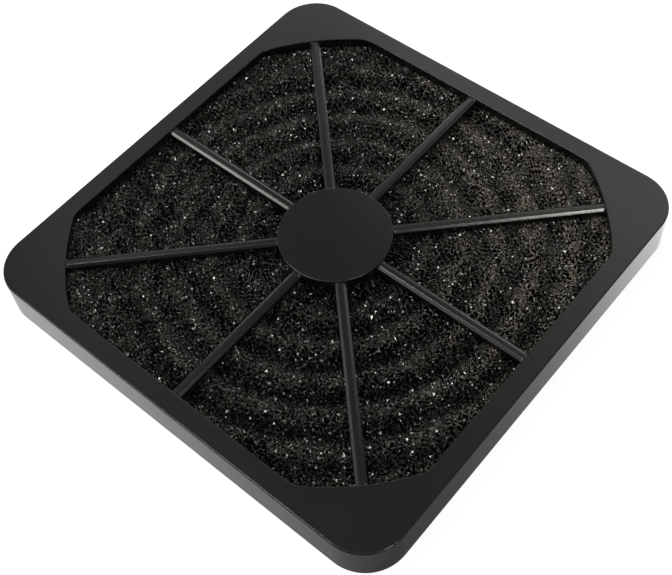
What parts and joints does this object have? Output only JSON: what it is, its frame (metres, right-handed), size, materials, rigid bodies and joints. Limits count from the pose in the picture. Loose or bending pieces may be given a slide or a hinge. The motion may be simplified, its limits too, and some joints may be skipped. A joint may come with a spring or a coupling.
{
  "type": "fan dust filter",
  "caption": "Snap-together square dust filter for an axial fan: spoked outer retainer, foam pad and ringed inner guard with corner screw holes.",
  "frame": {"origin": "centre of the fan-side plane, on the airflow axis", "axes": "+Z along the airflow axis, from the fan side to the outer face; X and Y square to the four straight sides"},
  "size_m": [0.124, 0.124, 0.011],
  "materials": {
    "moulded_black_outer": "satin black moulded plastic",
    "moulded_black_inner": "satin black moulded plastic",
    "foam_black": "black open-cell foam with small glints on its strands"
  },
  "bodies": {
    "root": {"outer_retainer": "moulded_black_outer", "inner_guard": "moulded_black_inner", "filter_foam": "foam_black"}
  },
  "joints": []
}
